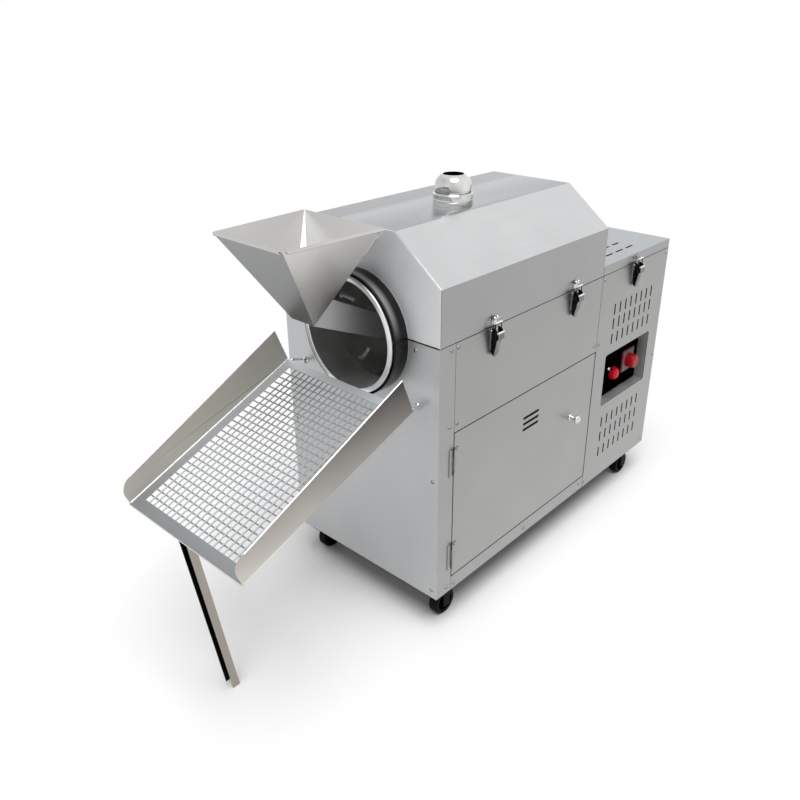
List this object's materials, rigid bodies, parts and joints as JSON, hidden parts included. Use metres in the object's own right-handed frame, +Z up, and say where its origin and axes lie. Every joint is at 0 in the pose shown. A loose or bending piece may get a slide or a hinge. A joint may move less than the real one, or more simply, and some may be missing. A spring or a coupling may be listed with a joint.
{
  "type": "grain roaster",
  "caption": "Stainless drum roaster on casters with a hinged lid, feed hopper, open drum mouth, sloping mesh discharge tray and a side control cabinet.",
  "frame": {"origin": "on the floor under the drum axis, at the middle of the whole length", "axes": "+X from the drum mouth to the control cabinet along the drum axis, -Y to the operator's side, +Z up"},
  "size_m": [1.4294, 0.4975, 0.961],
  "materials": {
    "stainless_sheet": "brushed, glossy",
    "polished_steel": "polished",
    "wire_steel": "satin",
    "dark_steel": "oiled",
    "motor_paint": "satin paint",
    "zinc_plated_steel": "plated",
    "black_plastic": "matt",
    "grey_plastic": "matt",
    "red_plastic": "gloss",
    "caster_rubber": "matt"
  },
  "bodies": {
    "casing": {"base_frame": "stainless_sheet", "front_plate": "stainless_sheet", "front_upper_plate": "stainless_sheet", "side_panel": "stainless_sheet", "side_rail": "stainless_sheet", "back_panel": "stainless_sheet", "bulkhead": "stainless_sheet", "liner": "stainless_sheet", "control_shell": "stainless_sheet", "control_recess": "stainless_sheet", "control_plate": "black_plastic", "switch_plate": "grey_plastic", "latch_bases": "polished_steel", "hinge_bases": "stainless_sheet", "rear_bearing": "dark_steel", "gearmotor": "motor_paint", "heating_elements": "dark_steel", "cable_gland": "black_plastic", "rigid_casters": "zinc_plated_steel", "panel_screws": "polished_steel", "tray_eyes": "polished_steel", "drive_chain": "dark_steel"},
    "lid": {"lid": "stainless_sheet", "chimney_collar": "polished_steel", "latch_keepers": "polished_steel", "lid_hinge_leaves": "stainless_sheet"},
    "vent_cap": {"vent_cap": "polished_steel"},
    "control_lid": {"control_lid": "stainless_sheet"},
    "door": {"door": "stainless_sheet", "door_knob": "polished_steel", "door_hinge_leaves": "stainless_sheet"},
    "drum": {"drum_shell": "stainless_sheet", "mouth_ring": "polished_steel", "drum_flights": "stainless_sheet", "drum_shaft": "dark_steel", "drum_sprocket": "dark_steel", "drum_bolts": "polished_steel"},
    "motor_sprocket": {"motor_sprocket": "dark_steel"},
    "roller_near": {"roller_near": "dark_steel"},
    "roller_far": {"roller_far": "dark_steel"},
    "hopper": {"hopper": "stainless_sheet"},
    "tray": {"tray_pan": "stainless_sheet", "tray_mesh": "wire_steel", "tray_hooks": "wire_steel"},
    "tray_leg": {"tray_leg": "wire_steel"},
    "switch_knob": {"switch_knob": "red_plastic"},
    "selector_knob": {"selector_knob": "red_plastic"},
    "toggle_lever": {"toggle_lever": "polished_steel"},
    "latch_lever_front": {"latch_lever_front": "polished_steel"},
    "latch_bail_front": {"latch_bail_front": "polished_steel"},
    "latch_lever_rear": {"latch_lever_rear": "polished_steel"},
    "latch_bail_rear": {"latch_bail_rear": "polished_steel"},
    "latch_lever_control": {"latch_lever_control": "polished_steel"},
    "latch_bail_control": {"latch_bail_control": "polished_steel"},
    "caster_fork_near": {"caster_fork_near": "zinc_plated_steel"},
    "wheel_front_near": {"wheel_front_near": "caster_rubber"},
    "wheel_rear_near": {"wheel_rear_near": "caster_rubber"},
    "caster_fork_far": {"caster_fork_far": "zinc_plated_steel"},
    "wheel_front_far": {"wheel_front_far": "caster_rubber"},
    "wheel_rear_far": {"wheel_rear_far": "caster_rubber"}
  },
  "joints": [
    {"name": "lid_hinge", "type": "hinge", "parent": "casing", "child": "lid", "pos_m": [0, 0.2465, 0.69], "axis": [-1, 0, 0], "range_deg": [0, 85]},
    {"name": "vent_cap_lift", "type": "slide", "parent": "lid", "child": "vent_cap", "axis": [0, 0, 1], "range_m": [0, 0.05]},
    {"name": "control_lid_hinge", "type": "hinge", "parent": "casing", "child": "control_lid", "pos_m": [0.54, 0.2465, 0.69], "axis": [-1, 0, 0], "range_deg": [0, 95]},
    {"name": "door_hinge", "type": "hinge", "parent": "casing", "child": "door", "pos_m": [-0.194, -0.2165, 0.3], "axis": [0, 0, -1], "range_deg": [0, 110]},
    {"name": "latch_lever_front_hinge", "type": "hinge", "parent": "casing", "child": "latch_lever_front", "pos_m": [-0.072, -0.22, 0.663], "axis": [-1, 0, 0], "range_deg": [0, 100]},
    {"name": "latch_bail_front_hinge", "type": "hinge", "parent": "latch_lever_front", "child": "latch_bail_front", "pos_m": [-0.072, -0.2245, 0.657], "axis": [-1, 0, 0], "range_deg": [-100, 0]},
    {"name": "latch_lever_rear_hinge", "type": "hinge", "parent": "casing", "child": "latch_lever_rear", "pos_m": [0.237, -0.22, 0.663], "axis": [-1, 0, 0], "range_deg": [0, 100]},
    {"name": "latch_bail_rear_hinge", "type": "hinge", "parent": "latch_lever_rear", "child": "latch_bail_rear", "pos_m": [0.237, -0.2245, 0.657], "axis": [-1, 0, 0], "range_deg": [-100, 0]},
    {"name": "latch_lever_control_hinge", "type": "hinge", "parent": "casing", "child": "latch_lever_control", "pos_m": [0.528, -0.22, 0.663], "axis": [-1, 0, 0], "range_deg": [0, 100]},
    {"name": "latch_bail_control_hinge", "type": "hinge", "parent": "latch_lever_control", "child": "latch_bail_control", "pos_m": [0.528, -0.2245, 0.657], "axis": [-1, 0, 0], "range_deg": [-100, 0]},
    {"name": "drum_spin", "type": "hinge", "parent": "casing", "child": "drum", "pos_m": [0, 0, 0.678], "axis": [1, 0, 0], "continuous": true},
    {"name": "motor_spin", "type": "hinge", "parent": "casing", "child": "motor_sprocket", "pos_m": [0.4085, 0, 0.458], "axis": [1, 0, 0], "continuous": true},
    {"name": "roller_far_spin", "type": "hinge", "parent": "casing", "child": "roller_far", "pos_m": [-0.23025, 0.07846, 0.56594], "axis": [1, 0, 0], "continuous": true},
    {"name": "roller_near_spin", "type": "hinge", "parent": "casing", "child": "roller_near", "pos_m": [-0.23025, -0.07846, 0.56594], "axis": [1, 0, 0], "continuous": true},
    {"name": "hopper_slide", "type": "slide", "parent": "casing", "child": "hopper", "axis": [-1, 0, 0], "range_m": [0, 0.13]},
    {"name": "tray_hinge", "type": "hinge", "parent": "casing", "child": "tray", "pos_m": [-0.255, 0, 0.562], "axis": [0, 1, 0], "range_deg": [0, 15]},
    {"name": "leg_fold", "type": "hinge", "parent": "tray", "child": "tray_leg", "pos_m": [-0.69489, 0.0073, 0.3938], "axis": [0, -1, 0], "range_deg": [0, 95]},
    {"name": "switch_turn", "type": "hinge", "parent": "casing", "child": "switch_knob", "pos_m": [0.602, -0.189, 0.388], "axis": [0, -1, 0], "range_deg": [0, 90]},
    {"name": "selector_turn", "type": "hinge", "parent": "casing", "child": "selector_knob", "pos_m": [0.524, -0.184, 0.373], "axis": [0, -1, 0], "range_deg": [0, 270]},
    {"name": "toggle_tilt", "type": "hinge", "parent": "casing", "child": "toggle_lever", "pos_m": [0.491, -0.1894, 0.397], "axis": [1, 0, 0], "range_deg": [-18, 18]},
    {"name": "caster_swivel_near", "type": "hinge", "parent": "casing", "child": "caster_fork_near", "pos_m": [-0.205, -0.174, 0.08], "axis": [0, 0, 1], "continuous": true},
    {"name": "wheel_front_near_roll", "type": "hinge", "parent": "caster_fork_near", "child": "wheel_front_near", "pos_m": [-0.18, -0.174, 0.0325], "axis": [0, 1, 0], "continuous": true},
    {"name": "wheel_rear_near_roll", "type": "hinge", "parent": "casing", "child": "wheel_rear_near", "pos_m": [0.647, -0.174, 0.0325], "axis": [0, 1, 0], "continuous": true},
    {"name": "caster_swivel_far", "type": "hinge", "parent": "casing", "child": "caster_fork_far", "pos_m": [-0.205, 0.204, 0.08], "axis": [0, 0, 1], "continuous": true},
    {"name": "wheel_front_far_roll", "type": "hinge", "parent": "caster_fork_far", "child": "wheel_front_far", "pos_m": [-0.18, 0.204, 0.0325], "axis": [0, 1, 0], "continuous": true},
    {"name": "wheel_rear_far_roll", "type": "hinge", "parent": "casing", "child": "wheel_rear_far", "pos_m": [0.647, 0.204, 0.0325], "axis": [0, 1, 0], "continuous": true}
  ],
  "couplings": [
    {"joint": "latch_bail_front_hinge", "follows": "latch_lever_front_hinge", "ratio": -1},
    {"joint": "latch_bail_rear_hinge", "follows": "latch_lever_rear_hinge", "ratio": -1},
    {"joint": "latch_bail_control_hinge", "follows": "latch_lever_control_hinge", "ratio": -1},
    {"joint": "motor_spin", "follows": "drum_spin", "ratio": 1},
    {"joint": "roller_far_spin", "follows": "drum_spin", "ratio": -5.825},
    {"joint": "roller_near_spin", "follows": "drum_spin", "ratio": -5.825}
  ]
}
